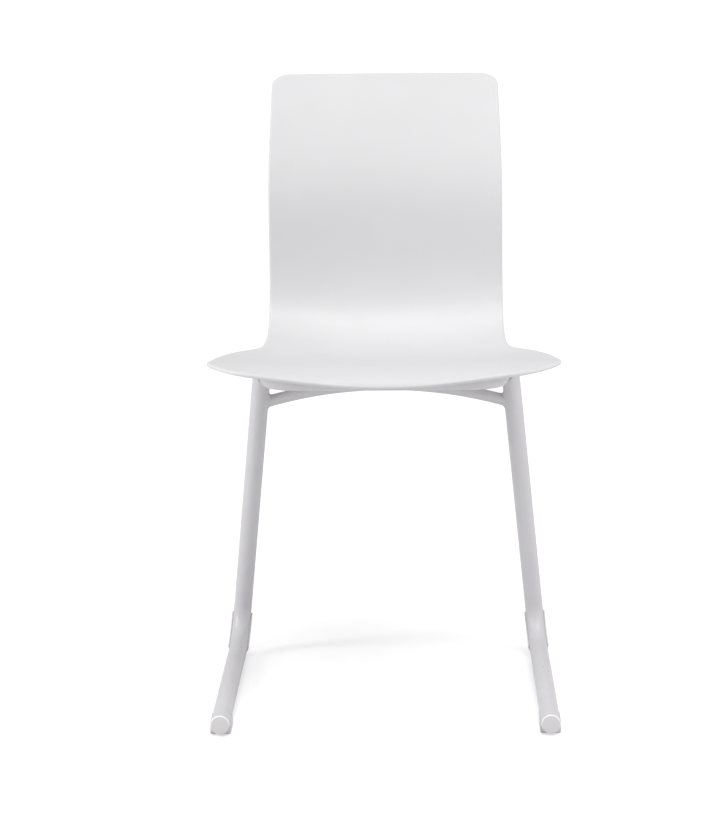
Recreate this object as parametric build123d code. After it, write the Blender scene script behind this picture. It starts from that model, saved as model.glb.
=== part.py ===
"""Stacking chair: a one-piece moulded shell on a welded frame of bent steel tube.

Millimetres. The chair faces -Y and +Z is up, so the sitter's left is +X. The origin is on the floor, midway
between the runners' front ends and the top of the back. Names say left and right as the sitter does.
"""

from build123d import *
import bisect
import math
import os

# Overall
DEPTH = 505.0  # front ends of the runners to the top of the back
FRONT = -DEPTH / 2
SIDES = {"left": 1, "right": -1}

# Frame tube
TUBE_R = 12.5
TUBE_WALL = 2.0
BORE_R = TUBE_R - TUBE_WALL
SOLE = 3.0  # glider thickness under the tube
CAP_HEAD_T = 2.0  # the cap's head stands in front of the runner's open end
RUNNER_X = 212.0
RUNNER_Z = SOLE + TUBE_R
HEEL_Y = FRONT + 440.0  # where the runner's and the upright's centre lines meet
HEEL_BEND_R = 50.0
SHOULDER = (170.0, FRONT + 368.0, 428.0)  # where the upright's and the rail's centre lines meet
SHOULDER_BEND_R = 55.0
FRONT_CORNER = (146.0, FRONT + 110.0, 443.5)  # where the rail's and the cross tube's centre lines meet
FRONT_BEND_R = 46.0
TUBE_JOINT = 70.0  # from the front corner back to the butt joint in the rail

# Arched bar between the uprights
BAR_R = 8.0
BAR_BORE_R = 6.0
BAR_END_Z = 368.0
BAR_RISE = 26.5
WELD_LEG = 5.0
WELD_HALF_WIDTH = 10.5
WELD_ROOT = 6.0  # from the upright's centre line to the root of the bead

# Shell
SHELL_T = 5.5
DISH_AT = 165.0  # distance from the middle at which the dish table is given
FRONT_BOW = 25.0  # how far the seat's front edge is drawn back at BOW_AT
BOW_AT = 172.0
BOW_REACH = 150.0
TOP_CROWN = 5.0  # how far the back's top edge drops at BOW_AT
CROWN_REACH = 80.0
CENTRE_STEPS = 250
SHELL_ROWS = 120
SHELL_COLUMNS = 28

# Centre line of the shell's upper face, from the seat's front edge to the top: distance behind FRONT, height
SHELL_PROFILE = [
    (42.5, 444.5),
    (44.5, 449.5),
    (50.5, 455),
    (64, 460),
    (90, 463.2),
    (118, 463.8),
    (170, 459.5),
    (230, 452.5),
    (290, 446),
    (335, 444.5),
    (382, 446.5),
    (418, 452.5),
    (444, 465),
    (460, 486),
    (466, 513),
    (465, 545),
    (458.5, 585),
    (450.5, 630),
    (448.5, 655),
    (450, 680),
    (461, 725),
    (478, 770),
    (500, 817),
]

# Half width of the shell: distance along the centre line, half width
SHELL_HALF_WIDTH = [
    (0, 172),
    (2, 181),
    (9, 193.5),
    (24, 206),
    (40, 215),
    (64, 224.5),
    (90, 229.5),
    (120, 231),
    (150, 229.5),
    (180, 225),
    (205, 219.5),
    (226, 213),
    (244, 205.5),
    (258, 197),
    (269, 188.5),
    (280, 179.5),
    (289, 173.5),
    (300, 169),
    (320, 166),
    (350, 164),
    (410, 163.2),
    (525, 162.4),
    (615, 162),
    (687, 160),
    (757, 157.6),
]
TOP_CORNER = (25.0, 19.0)  # the top corners' rounding, across and down

# Dish of the shell: distance along the centre line, lift of the face at DISH_AT towards the sitter
SHELL_DISH = [
    (0, 3),
    (60, 1),
    (140, 1),
    (195, 3),
    (245, 6),
    (290, 10),
    (345, 17),
    (415, 21),
    (485, 19),
    (575, 16),
    (685, 12),
    (773, 8),
]

# Shell mountings: distance behind FRONT, inset of the screw from the rail's centre line
MOUNTINGS = {"front": (150.0, 36.0), "rear": (298.0, 34.0)}
PLATE_T = 3.0
PLATE_END_R = 14.0
SCREW_R = 2.95  # M6 shank
SCREW_HOLE_R = 3.3
SCREW_REACH = 7.5  # above the plate
SCREW_HEAD_R = 5.5
SCREW_HEAD_H = 4.0
HEX_SOCKET_R = 2.3
WASHER_R = 7.0
WASHER_T = 1.2
INSERT_R = 4.25
INSERT_BORE_R = 3.0
INSERT_L = 8.0
BOSS_R = 9.0

# Gliders
FIT = 0.1  # radial play between a plastic fitting and its tube
FRONT_GLIDER = (26.4, 42.0, 17.5)  # width, length, height
GLIDER_SETBACK = 14.0  # from FRONT to the front glider
GLIDER_CHAMFER = 1.5
GLIDER_HEEL_R = 2.0
HEEL_SHOE_R = 14.6
HEEL_SHOE_WRAP = (0.15, 0.82)  # parts of the heel bend between which the shoe runs
HEEL_SHOE_LIP = 2.0  # how far the shoe reaches past the tube's widest line
HEEL_SOLE = (19.0, 66.0, 12.0)  # width, length, height
HEEL_SOLE_LEAD = 84.0  # from the sole's front end to HEEL_Y
HEEL_SOLE_R = 6.0
GLIDER_SCREW_Y = {"front": FRONT + 35.0, "heel": HEEL_Y - 68.0}
CSK_HEAD_R = 3.4
CSK_HEAD_H = 1.8
CSK_SHANK_R = 1.7
CSK_SHANK_L = 8.0
CSK_SUNK = 0.6  # from the floor up to the screw's head

# Caps and buffers
CAP_HEAD_R = 12.4
CAP_EDGE_R = 1.2
CAP_STEM_R = 8.0
CAP_LENGTH = 16.0  # behind the head
CAP_RIBS = 3
CAP_RIB_T = 1.2
CAP_RIB_PITCH = 3.6
BUFFER_Y = 235.0  # behind FRONT
BUFFER_L = 40.0
BUFFER_R = 15.6
BUFFER_LIP = 4.0  # how far down each side the pad reaches below the rail's centre line


UPWARD = (Align.CENTER, Align.CENTER, Align.MIN)  # a solid that stands on its own origin


def point_at(a, b, fraction):
    """A point part of the way from a to b."""
    return tuple(p + (q - p) * fraction for p, q in zip(a, b))


def sided(point, side):
    """A left-hand point, moved to the named side."""
    return (point[0] * SIDES[side], point[1], point[2])


def smooth(table, x):
    """A smooth curve through the rows of a table, read at x, which never overshoots them."""
    xs = [row[0] for row in table]
    ys = [row[1] for row in table]
    if x <= xs[0]:
        return ys[0]
    if x >= xs[-1]:
        return ys[-1]
    slopes = [(ys[k + 1] - ys[k]) / (xs[k + 1] - xs[k]) for k in range(len(xs) - 1)]

    def tangent(k):
        if k in (0, len(xs) - 1):
            return slopes[min(k, len(slopes) - 1)]
        before, after = slopes[k - 1], slopes[k]
        return 0.0 if before * after <= 0 else 2 * before * after / (before + after)

    i = bisect.bisect_right(xs, x) - 1
    step = xs[i + 1] - xs[i]
    t = (x - xs[i]) / step
    rise = (3 * t * t - 2 * t**3) * (ys[i + 1] - ys[i])
    return ys[i] + rise + step * ((t - 2 * t * t + t**3) * tangent(i) + (t**3 - t * t) * tangent(i + 1))


# Frame


def leg_path(side):
    """Centre line of one leg: runner, heel bend, upright, shoulder bend and rail."""
    rail = math.dist(FRONT_CORNER, SHOULDER)
    points = [
        (RUNNER_X, FRONT + CAP_HEAD_T, RUNNER_Z),
        (RUNNER_X, HEEL_Y, RUNNER_Z),
        SHOULDER,
        point_at(FRONT_CORNER, SHOULDER, TUBE_JOINT / rail),
    ]
    return FilletPolyline(*[sided(p, side) for p in points], radius=[HEEL_BEND_R, SHOULDER_BEND_R])


def hoop_path():
    """Centre line of the front cross tube with its two corner bends."""
    rail = math.dist(FRONT_CORNER, SHOULDER)
    joint = point_at(FRONT_CORNER, SHOULDER, TUBE_JOINT / rail)
    corners = [sided(joint, "left"), FRONT_CORNER, sided(FRONT_CORNER, "right"), sided(joint, "right")]
    return FilletPolyline(*corners, radius=[FRONT_BEND_R, FRONT_BEND_R])


def upright_point(height, side):
    """The point of the upright's centre line at a height."""
    heel = (RUNNER_X, HEEL_Y, RUNNER_Z)
    return sided(point_at(heel, SHOULDER, (height - RUNNER_Z) / (SHOULDER[2] - RUNNER_Z)), side)


def rail_point(behind_front, side):
    """The point of the rail's centre line at a distance behind the front ends."""
    fraction = (FRONT + behind_front - FRONT_CORNER[1]) / (SHOULDER[1] - FRONT_CORNER[1])
    return sided(point_at(FRONT_CORNER, SHOULDER, fraction), side)


def swept(path, radius, bore=0.0):
    """A round rod, or a tube, along a path."""
    section = Circle(radius)
    if bore:
        section = section - Circle(bore)
    return sweep(Plane(path @ 0, z_dir=path % 0) * section, path=path)


def leg_tube(side):
    tube = swept(leg_path(side), TUBE_R, BORE_R)
    for screw in glider_screw_points(side):
        tube -= Pos(screw[0], screw[1], RUNNER_Z - TUBE_R) * Cylinder(CSK_SHANK_R + FIT, 3 * TUBE_WALL)
    return tube


def bar_path():
    ends = [upright_point(BAR_END_Z, side) for side in SIDES]
    crown = (0, ends[0][1], BAR_END_Z + BAR_RISE)
    return ThreePointArc(ends[0], crown, ends[1])


def arched_bar(legs):
    return swept(bar_path(), BAR_R, BAR_BORE_R) - legs["left"] - legs["right"]


def bead_profile():
    """Half section of a concave bead round the bar, drawn from the upright's centre line along the bar."""
    outer = BAR_R + WELD_LEG
    toe = TUBE_R + WELD_LEG
    with BuildSketch(Plane.XZ) as profile:
        with BuildLine():
            Line((0, WELD_ROOT), (outer, WELD_ROOT))
            Line((outer, WELD_ROOT), (outer, TUBE_R))
            RadiusArc((outer, TUBE_R), (BAR_R, toe), WELD_LEG)
            Line((BAR_R, toe), (0, toe))
            Line((0, toe), (0, WELD_ROOT))
        make_face()
    return profile.sketch


def bar_welds(legs):
    """Concave beads where the arched bar meets the uprights, alike on both sides."""
    path = bar_path()
    plane = Plane(path @ 0, x_dir=(0, 1, 0), z_dir=path % 0)
    flare = revolve(bead_profile(), Axis.Z) & Box(2 * WELD_HALF_WIDTH, 4 * TUBE_R, 4 * TUBE_R)
    bead = plane * flare - legs["left"] - swept(path, BAR_R)
    return [bead, mirror(bead, about=Plane.YZ)]


# Shell


def shell_centre():
    """The centre line of the shell's upper face: its length, and its y and z at even steps along it."""
    curve = Spline([(0, FRONT + y, z) for y, z in SHELL_PROFILE])
    steps = [k / CENTRE_STEPS for k in range(CENTRE_STEPS + 1)]
    points = [curve.position_at(step) for step in steps]
    y_table = [(step * curve.length, point.Y) for step, point in zip(steps, points)]
    z_table = [(step * curve.length, point.Z) for step, point in zip(steps, points)]
    return curve.length, y_table, z_table


def half_width(distance, length):
    """Half width of the shell at a distance along its centre line, with the top corners rounded."""
    across, down = TOP_CORNER
    width = smooth(SHELL_HALF_WIDTH, distance)
    into = distance - (length - down)
    if into > 0:
        width -= across * (1 - math.sqrt(max(0.0, 1 - (into / down) ** 2)))
    return width


def drawn_in(distance, length):
    """How far along the centre line the face is drawn in from its ends, at BOW_AT from the middle."""
    front = FRONT_BOW * max(0.0, 1 - distance / BOW_REACH) ** 2
    top = TOP_CROWN * max(0.0, 1 - (length - distance) / CROWN_REACH) ** 2
    return front - top


def centre_point(centre, along):
    """A point of the centre line and its direction, running straight on past both ends."""
    length, y_table, z_table = centre
    foot = min(max(along, 1.0), length - 1.0)
    dy = (smooth(y_table, foot + 1) - smooth(y_table, foot - 1)) / 2
    dz = (smooth(z_table, foot + 1) - smooth(z_table, foot - 1)) / 2
    past = along - foot
    point = Vector(0, smooth(y_table, foot) + dy * past, smooth(z_table, foot) + dz * past)
    return point, Vector(0, dy, dz).normalized()


def shell_point(centre, x, distance):
    """A point of the shell's upper face."""
    along = distance + drawn_in(distance, centre[0]) * (x / BOW_AT) ** 2
    foot, direction = centre_point(centre, along)
    towards_sitter = Vector(0, -direction.Z, direction.Y)
    return foot + Vector(x, 0, 0) + towards_sitter * (smooth(SHELL_DISH, along) * (x / DISH_AT) ** 2)


def shell_normal(centre, x, distance):
    """The direction square to the upper face, towards the sitter."""
    across = shell_point(centre, x + 1, distance) - shell_point(centre, x - 1, distance)
    along = shell_point(centre, x, distance + 1) - shell_point(centre, x, distance - 1)
    return across.cross(along).normalized()


def shell_rows(length):
    """Distances along the centre line, closer together near both ends."""
    even = [k / SHELL_ROWS for k in range(SHELL_ROWS + 1)]
    return [length * (0.5 * t + 0.25 * (1 - math.cos(math.pi * t))) for t in even]


def seat_height(centre, x, behind_front):
    """Height of the seat's upper face above a point of the floor."""
    low, high = 0.0, centre[0] / 2
    for _ in range(30):
        middle = (low + high) / 2
        if shell_point(centre, x, middle).Y < FRONT + behind_front:
            low = middle
        else:
            high = middle
    return shell_point(centre, x, low).Z


def mounting_points():
    """Where each shell screw's axis meets the upper face of its plate."""
    points = {}
    for place, (behind_front, inset) in MOUNTINGS.items():
        for side in SIDES:
            rail = rail_point(behind_front, side)
            points[place, side] = (rail[0] - inset * SIDES[side], rail[1], rail[2])
    return points


def sheet():
    """The shell's bare sheet: an upper and a lower face, closed by a rim."""
    centre = shell_centre()
    length = centre[0]
    upper, lower = [], []
    for distance in shell_rows(length):
        reach = half_width(distance, length)
        xs = [reach * (2 * k / SHELL_COLUMNS - 1) for k in range(SHELL_COLUMNS + 1)]
        row = [shell_point(centre, x, distance) for x in xs]
        upper.append(row)
        lower.append([p - shell_normal(centre, x, distance) * SHELL_T for x, p in zip(xs, row)])
    faces = [Face.make_surface_from_array_of_points(grid, tol=0.02) for grid in (upper, lower)]
    rims = []
    for edge in faces[0].edges():
        below = faces[1].edges().sort_by(lambda e: (e.center() - edge.center()).length)[0]
        rims.append(Face.make_surface_from_curves(edge, below))
    return centre, Solid(Shell(faces + rims))


def shell():
    centre, body = sheet()
    for x, y, z in mounting_points().values():
        top = seat_height(centre, x, y - FRONT) - SHELL_T / 2
        body += Pos(x, y, (z + top) / 2) * Cylinder(BOSS_R, top - z)
        body -= Pos(x, y, z + (INSERT_L + FIT) / 2) * Cylinder(INSERT_R + FIT / 4, INSERT_L + FIT)
    return body


# Shell mountings


def bracket(place, side, frame):
    """A plate welded to the inside of the rail, with a round end under the shell's boss."""
    x, y, z = mounting_points()[place, side]
    rail = rail_point(MOUNTINGS[place][0], side)
    plate = Pos((x + rail[0]) / 2, y) * Rectangle(abs(rail[0] - x), 2 * PLATE_END_R)
    plate += Pos(x, y) * Circle(PLATE_END_R)
    plate -= Pos(x, y) * Circle(SCREW_HOLE_R)
    return Pos(0, 0, z - PLATE_T) * extrude(plate, PLATE_T) - frame


def shell_screw(x, y, z):
    """A button-head screw with a hex socket, from below."""
    head_top = z - PLATE_T - WASHER_T
    shank_l = z + SCREW_REACH - head_top
    screw = Pos(x, y, head_top + shank_l / 2) * Cylinder(SCREW_R, shank_l)
    dome = Cylinder(SCREW_HEAD_R, SCREW_HEAD_H)
    dome = fillet(dome.edges().group_by(Axis.Z)[0], SCREW_HEAD_H / 2)
    dome -= Pos(0, 0, -SCREW_HEAD_H / 2) * extrude(RegularPolygon(HEX_SOCKET_R, 6), SCREW_HEAD_H * 0.6)
    return screw + Pos(x, y, head_top - SCREW_HEAD_H / 2) * dome


def shell_washer(x, y, z):
    ring = Cylinder(WASHER_R, WASHER_T) - Cylinder(SCREW_HOLE_R, WASHER_T)
    return Pos(x, y, z - PLATE_T - WASHER_T / 2) * ring


def threaded_insert(x, y, z):
    ring = Cylinder(INSERT_R, INSERT_L) - Cylinder(INSERT_BORE_R, INSERT_L)
    return Pos(x, y, z + INSERT_L / 2) * ring


# Gliders, caps and buffers


def glider_screw_points(side):
    """Points of the floor over which the glider screws stand."""
    return [(RUNNER_X * SIDES[side], y) for y in GLIDER_SCREW_Y.values()]


def countersunk(play):
    """A small countersunk head and its shank, grown all round by the play."""
    head = Cone(CSK_HEAD_R + play, CSK_SHANK_R + play, CSK_HEAD_H, align=UPWARD)
    return head + Cylinder(CSK_SHANK_R + play, CSK_HEAD_H + CSK_SHANK_L, align=UPWARD)


def glider_screw(x, y):
    """A countersunk screw, its head sunk into the glider's sole."""
    return Pos(x, y, CSK_SUNK) * countersunk(0)


def screw_seat(x, y):
    """The hole, countersink and mouth for a glider screw."""
    mouth = Cylinder(CSK_HEAD_R + FIT / 2, 2 * CSK_SUNK)
    return Pos(x, y, CSK_SUNK) * (countersunk(FIT / 2) + mouth)


def front_glider(side, core):
    """A block clipped round the lower half of the runner."""
    width, length, height = FRONT_GLIDER
    x = RUNNER_X * SIDES[side]
    block = Pos(x, FRONT + GLIDER_SETBACK + length / 2, height / 2) * Box(width, length, height)
    block = chamfer(block.edges().filter_by(Axis.Y).group_by(Axis.Z)[0], GLIDER_CHAMFER)
    heel = block.edges().filter_by(Axis.X).group_by(Axis.Z)[0].sort_by(Axis.Y)[-1:]
    return fillet(heel, GLIDER_HEEL_R) - core - screw_seat(*glider_screw_points(side)[0])


def heel_glider(side, core):
    """A shoe round the outside of the heel bend, on a flat sole."""
    bend = leg_path(side).edges()[1].trim(*HEEL_SHOE_WRAP)
    outward = (bend @ 0 - bend.arc_center).normalized()
    opening = Pos(-HEEL_SHOE_R - HEEL_SHOE_LIP, 0) * Rectangle(2 * HEEL_SHOE_R, 2 * HEEL_SHOE_R)
    wrap = Plane(bend @ 0, x_dir=outward, z_dir=bend % 0) * (Circle(HEEL_SHOE_R) - opening)
    saddle = sweep(wrap, path=bend)
    width, length, height = HEEL_SOLE
    x = RUNNER_X * SIDES[side]
    sole = Pos(x, HEEL_Y - HEEL_SOLE_LEAD + length / 2, height / 2) * Box(width, length, height)
    shoe = fillet(sole.edges().filter_by(Axis.Z), HEEL_SOLE_R) + saddle
    under_floor = Pos(x, HEEL_Y, -HEEL_SHOE_R) * Box(4 * HEEL_SHOE_R, DEPTH, 2 * HEEL_SHOE_R)
    return shoe - under_floor - core - screw_seat(*glider_screw_points(side)[1])


def end_cap(side):
    """A ribbed plug in the runner's open end, with a flat round head."""
    plug = Cylinder(CAP_HEAD_R, CAP_HEAD_T, align=UPWARD)
    plug = fillet(plug.edges().group_by(Axis.Z)[0], CAP_EDGE_R)
    plug += Cylinder(CAP_STEM_R, CAP_HEAD_T + CAP_LENGTH, align=UPWARD)
    for k in range(CAP_RIBS):
        rib = Cylinder(BORE_R - FIT / 2, CAP_RIB_T, align=UPWARD)
        plug += Pos(0, 0, CAP_HEAD_T + CAP_RIB_PITCH * (k + 1)) * rib
    return Plane((RUNNER_X * SIDES[side], FRONT, RUNNER_Z), z_dir=(0, 1, 0)) * plug


def stack_buffer(side):
    """A clip-on pad round the upper part of the rail."""
    start = Vector(rail_point(BUFFER_Y - BUFFER_L / 2, side))
    along = Vector(SHOULDER[0] * SIDES[side], SHOULDER[1], SHOULDER[2]) - start
    opening = Pos(0, BUFFER_R + BUFFER_LIP) * Rectangle(3 * BUFFER_R, 2 * BUFFER_R)
    ring = Circle(BUFFER_R) - Circle(TUBE_R + FIT) - opening
    upward = Plane(start, x_dir=(SIDES[side], 0, 0), z_dir=along)
    if upward.y_dir.Z < 0:
        ring = ring.rotate(Axis.Z, 180)
    return extrude(upward * ring, BUFFER_L)


def build():
    """Every sub-part, by node name."""
    cores = {side: swept(leg_path(side), TUBE_R) for side in SIDES}
    shoe_cores = {side: swept(leg_path(side), TUBE_R + FIT) for side in SIDES}
    hoop = swept(hoop_path(), TUBE_R)
    nodes = {"seat_shell": shell()}
    nodes["front_cross_tube"] = swept(hoop_path(), TUBE_R, BORE_R)
    nodes["arched_cross_bar"] = arched_bar(cores)
    nodes["cross_bar_welds"] = Compound(children=[Part(bead.wrapped) for bead in bar_welds(cores)])
    for side in SIDES:
        nodes[side + "_leg_tube"] = leg_tube(side)
        nodes[side + "_end_cap"] = end_cap(side)
        nodes[side + "_front_glider"] = front_glider(side, shoe_cores[side])
        nodes[side + "_heel_glider"] = heel_glider(side, shoe_cores[side])
        nodes[side + "_stack_buffer"] = stack_buffer(side)
        nodes["front_" + side + "_bracket"] = bracket("front", side, hoop)
        nodes["rear_" + side + "_bracket"] = bracket("rear", side, cores[side])
    places = list(mounting_points().values())
    nodes["shell_screws"] = Compound(children=[shell_screw(*p) for p in places])
    nodes["shell_screw_washers"] = Compound(children=[shell_washer(*p) for p in places])
    nodes["threaded_inserts"] = Compound(children=[threaded_insert(*p) for p in places])
    screws = [glider_screw(*p) for side in SIDES for p in glider_screw_points(side)]
    nodes["glider_screws"] = Compound(children=screws)
    return nodes


os.makedirs("parts", exist_ok=True)
for name, part in build().items():
    export_step(part, "parts/" + name + ".step")
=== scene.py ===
import bisect
import math

import bmesh
import bpy
import numpy as np
from mathutils import Matrix, Vector


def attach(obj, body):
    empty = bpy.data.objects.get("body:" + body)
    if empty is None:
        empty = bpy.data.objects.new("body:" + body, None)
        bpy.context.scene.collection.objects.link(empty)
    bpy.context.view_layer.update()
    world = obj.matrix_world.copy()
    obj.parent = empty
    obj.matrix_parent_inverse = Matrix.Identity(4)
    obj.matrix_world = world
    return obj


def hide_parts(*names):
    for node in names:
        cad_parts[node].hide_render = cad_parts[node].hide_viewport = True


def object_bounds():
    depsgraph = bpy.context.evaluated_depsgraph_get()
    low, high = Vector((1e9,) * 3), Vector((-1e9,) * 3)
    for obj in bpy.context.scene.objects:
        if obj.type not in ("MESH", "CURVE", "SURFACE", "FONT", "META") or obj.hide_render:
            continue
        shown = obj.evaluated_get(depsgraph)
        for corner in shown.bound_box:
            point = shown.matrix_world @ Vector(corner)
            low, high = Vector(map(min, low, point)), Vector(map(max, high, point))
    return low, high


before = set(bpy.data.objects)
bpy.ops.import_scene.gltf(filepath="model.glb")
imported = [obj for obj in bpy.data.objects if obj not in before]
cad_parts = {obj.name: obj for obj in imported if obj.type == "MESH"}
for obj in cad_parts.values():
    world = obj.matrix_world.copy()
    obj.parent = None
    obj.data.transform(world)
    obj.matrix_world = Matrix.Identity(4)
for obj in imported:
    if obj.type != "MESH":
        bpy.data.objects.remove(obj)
CAD_LOW, CAD_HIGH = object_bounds()

# ------------------------------------------------------------------ sizes, in metres
MM = 0.001
FRONT = CAD_LOW.y  # the outer faces of the runners' end caps
SIDES = {"left": 1, "right": -1}  # the sitter's left is +X

# How meshes are finished
SHARP_ANGLE = math.radians(40)  # an edge that turns more than this stays crisp
BEVEL_ANGLE = math.radians(35)  # an edge that turns more than this is rounded
BEVEL_SEGMENTS = 3
MERGE_DISTANCE = 0.001 * MM
QUARTER = [math.pi / 2 * k / 5 for k in range(6)]  # the angles that round an edge

TUBE_R = 12.5 * MM
TUBE_WALL = 2 * MM
BORE_R = TUBE_R - TUBE_WALL
SOLE = 3 * MM  # the glider plastic between a runner and the floor
CAP_HEAD_T = 2 * MM  # the runners' tubes start this far behind FRONT
RUNNER = Vector((212 * MM, FRONT + CAP_HEAD_T, SOLE + TUBE_R))
HEEL = Vector((212 * MM, FRONT + 440 * MM, SOLE + TUBE_R))
SHOULDER = Vector((170 * MM, FRONT + 368 * MM, 428 * MM))
FRONT_CORNER = Vector((146 * MM, FRONT + 110 * MM, 443.5 * MM))
HEEL_BEND_R = 50 * MM
SHOULDER_BEND_R = 55 * MM
FRONT_BEND_R = 46 * MM
TUBE_JOINT = 70 * MM  # where leg and cross tube meet, along the rail from its front corner
BEND_STEP = math.radians(2.5)
TUBE_SIDES = 56
END_ROUND = 0.8 * MM  # rounding of the runners' front ends

BAR_R = 8 * MM
BAR_WALL = 2 * MM
BAR_SIDES = 40
BAR_END_Z = 368 * MM
BAR_RISE = 26.5 * MM
WELD_LEG = 5.5 * MM  # above and below the bar
WELD_SIDE_LEG = 2.5 * MM  # in front of it and behind it
WELD_SINK = 0.1 * MM  # how far a bead's edges are let into the tubes
WELD_IN_UPRIGHT = 1.2 * MM  # how far inside the upright a bead closes
WELD_IN_BAR = 1 * MM

# The shell's sheet, in millimetres: the same rows as the solid model
SHELL_T = 5.5
DISH_AT = 165.0
FRONT_BOW = 25.0
BOW_AT = 172.0
BOW_REACH = 150.0
TOP_CROWN = 5.0
CROWN_REACH = 80.0
TOP_CORNER = (25.0, 19.0)
SHELL_PROFILE = [
    (42.5, 444.5),
    (44.5, 449.5),
    (50.5, 455),
    (64, 460),
    (90, 463.2),
    (118, 463.8),
    (170, 459.5),
    (230, 452.5),
    (290, 446),
    (335, 444.5),
    (382, 446.5),
    (418, 452.5),
    (444, 465),
    (460, 486),
    (466, 513),
    (465, 545),
    (458.5, 585),
    (450.5, 630),
    (448.5, 655),
    (450, 680),
    (461, 725),
    (478, 770),
    (500, 817),
]
SHELL_HALF_WIDTH = [
    (0, 172),
    (2, 181),
    (9, 193.5),
    (24, 206),
    (40, 215),
    (64, 224.5),
    (90, 229.5),
    (120, 231),
    (150, 229.5),
    (180, 225),
    (205, 219.5),
    (226, 213),
    (244, 205.5),
    (258, 197),
    (269, 188.5),
    (280, 179.5),
    (289, 173.5),
    (300, 169),
    (320, 166),
    (350, 164),
    (410, 163.2),
    (525, 162.4),
    (615, 162),
    (687, 160),
    (757, 157.6),
]
SHELL_DISH = [
    (0, 3),
    (60, 1),
    (140, 1),
    (195, 3),
    (245, 6),
    (290, 10),
    (345, 17),
    (415, 21),
    (485, 19),
    (575, 16),
    (685, 12),
    (773, 8),
]
SHEET_STEPS = 4000
SIDE_FROM = 100.0  # the outline's sides are farther out than this
GRID_ALONG = 170
GRID_ACROSS = 76
FRONT_CUT = 14.0  # distance along the centre line at which the grid's front corners stand
TOP_CUT = 5.5  # the same for its top corners, back from the top
RIM_STEPS = 10
RIM_SQUARENESS = 0.8  # 1 is a half-round rim, less is squarer
PARTING_RIDGE = 0.12

# Shell mountings: distance behind FRONT, inset of the screw from the rail's centre line
MOUNTINGS = ((150 * MM, 36 * MM), (298 * MM, 34 * MM))
BOSS_R = 9 * MM
BOSS_EDGE = 0.8 * MM
BOSS_FLARE = 3 * MM
PLATE_T = 3 * MM
PLATE_END_R = 14 * MM
PLATE_EDGE = 0.5 * MM
PLATE_SINK = 1.2 * MM  # how far a plate is let into the rail's wall
WASHER_R = 7 * MM
WASHER_T = 1.2 * MM
WASHER_BORE_R = 3.3 * MM
WASHER_EDGE = 0.25 * MM
SCREW_R = 2.95 * MM
SCREW_REACH = 7.5 * MM
SCREW_TIP = 1 * MM
HEAD_R = 5.5 * MM
HEAD_H = 4 * MM
HEAD_SIDE = 1.6 * MM  # the head's straight side, before its dome
HEAD_CHAMFER = (0.2 * MM, 0.3 * MM)  # across and down
SOCKET_R = 2.3 * MM
SOCKET_DEPTH = 2.4 * MM
INSERT_R = 4.25 * MM
INSERT_BORE_R = 3 * MM
INSERT_L = 8 * MM
INSERT_EDGE = 0.3 * MM

# Gliders, caps and buffers
FIT = 0.1 * MM  # play round a tube or a screw
CLIP_STEPS = 40
GLIDER_WIDTH = 26.4 * MM
GLIDER_LENGTH = 42 * MM
GLIDER_HEIGHT = 17.5 * MM
GLIDER_SETBACK = 14 * MM
GLIDER_CHAMFER = 1.5 * MM
GLIDER_EDGE = 0.35 * MM
SHOE_R = 14.6 * MM
SHOE_LIP = 2 * MM
SHOE_WRAP = (0.15, 0.82)  # the shares of the heel bend at which the shoe starts and ends
SHOE_STEPS = 32
SHOE_EDGE = 0.5 * MM
SOLE_WIDTH = 19 * MM
SOLE_LENGTH = 66 * MM
SOLE_HEIGHT = 12 * MM
SOLE_CORNER_R = 6 * MM
SOLE_START = -84 * MM  # from the heel's corner
SOLE_EDGE = 0.6 * MM
BED_LENGTH = 120 * MM  # of the cutter for the runner's bed in the sole
BED_SIDES = 64
CSK_HEAD_R = 3.4 * MM
CSK_SHANK_R = 1.7 * MM
CSK_SINK = 0.6 * MM
CSK_HEAD_H = 1.8 * MM
CSK_HEAD_EDGE = 0.15 * MM
CSK_RECESS_R = 0.45 * CSK_HEAD_R
CSK_RECESS_DEPTH = 1 * MM
CSK_LENGTH = 9.8 * MM
CSK_TIP = 0.4 * MM
CSK_HOLE_TOP = 8 * MM
GLIDER_SCREWS = (35 * MM, 372 * MM)  # behind FRONT
CAP_HEAD_R = 12.4 * MM
CAP_EDGE_R = 1.2 * MM
CAP_STEM_R = 8 * MM
CAP_LENGTH = 16 * MM  # behind the head
CAP_RIBS = 3
CAP_RIB_T = 1.2 * MM
CAP_RIB_PITCH = 3.6 * MM
GATE_MARK = ((0, 0.25 * MM), (1.1 * MM, 0.2 * MM), (1.3 * MM, 0.0))  # radius and depth, in the head's face
BUFFER_Y = 235 * MM
BUFFER_L = 40 * MM
BUFFER_R = 15.6 * MM
BUFFER_LIP = 4 * MM
BUFFER_EDGE = 0.8 * MM

# Colours in pairs: a finish and its rubbed patches, or the two greys of the floor's mottling
SHELL_GREYS = ((0.675, 0.67, 0.675, 1), (0.695, 0.69, 0.695, 1))
FRAME_GREYS = ((0.61, 0.60, 0.62, 1), (0.63, 0.62, 0.64, 1))
CAP_GREYS = ((0.67, 0.65, 0.66, 1), (0.70, 0.68, 0.69, 1))
GLIDER_GREYS = ((0.70, 0.69, 0.70, 1), (0.73, 0.72, 0.73, 1))
BUFFER_GREYS = ((0.46, 0.46, 0.47, 1), (0.5, 0.5, 0.51, 1))
ZINC_GREYS = ((0.70, 0.71, 0.73, 1), (0.55, 0.56, 0.58, 1))
BRASS_YELLOWS = ((0.80, 0.62, 0.30, 1), (0.62, 0.46, 0.22, 1))
FLOOR_GREYS = ((0.71, 0.71, 0.71, 1), (0.73, 0.73, 0.73, 1))
PLASTIC_DUST = (0.45, 0.43, 0.4, 1)
PAINT_DUST = (0.42, 0.40, 0.38, 1)
PAINTED_RIM_HIGHLIGHT = (0.88, 0.88, 0.88, 1)  # painted highlight: the upper part of the end caps' rounded edge, made lighter where the light from above catches it
PAINTED_END_HIGHLIGHT = (0.90, 0.89, 0.90, 1)  # painted highlight on the runners' rounded front ends
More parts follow.
